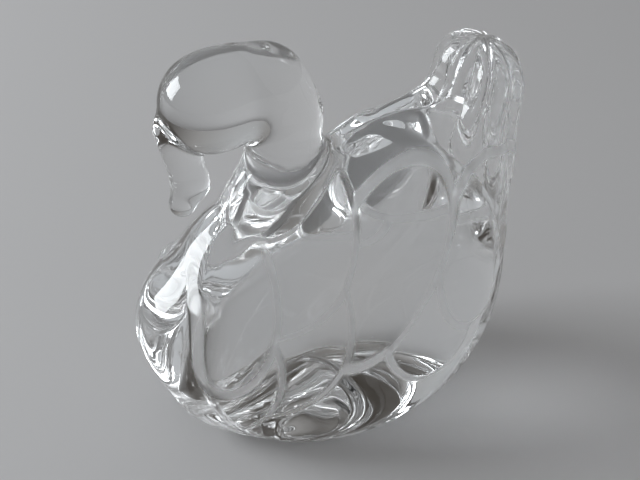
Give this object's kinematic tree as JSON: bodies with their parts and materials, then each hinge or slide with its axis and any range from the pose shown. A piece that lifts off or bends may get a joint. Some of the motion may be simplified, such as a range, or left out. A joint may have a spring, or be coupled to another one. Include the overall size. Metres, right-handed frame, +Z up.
{
  "type": "crystal swan figurine",
  "caption": "Clear crystal glass swan figurine with bowed head, feathered folded wings and a raised fluted tail, standing on a flat base",
  "frame": {"origin": "on the table surface, under the middle of the overall length and width", "axes": "+Z up, the bird faces -Y, its left wing is on +X"},
  "size_m": [0.0514, 0.0792, 0.0785],
  "materials": {
    "crystal": "clear polished lead crystal, fire polished, with faint mould ripple"
  },
  "bodies": {
    "root": {"body": "crystal", "neck": "crystal", "head": "crystal", "bill": "crystal", "wing_left": "crystal", "wing_right": "crystal", "tail": "crystal"}
  },
  "joints": []
}
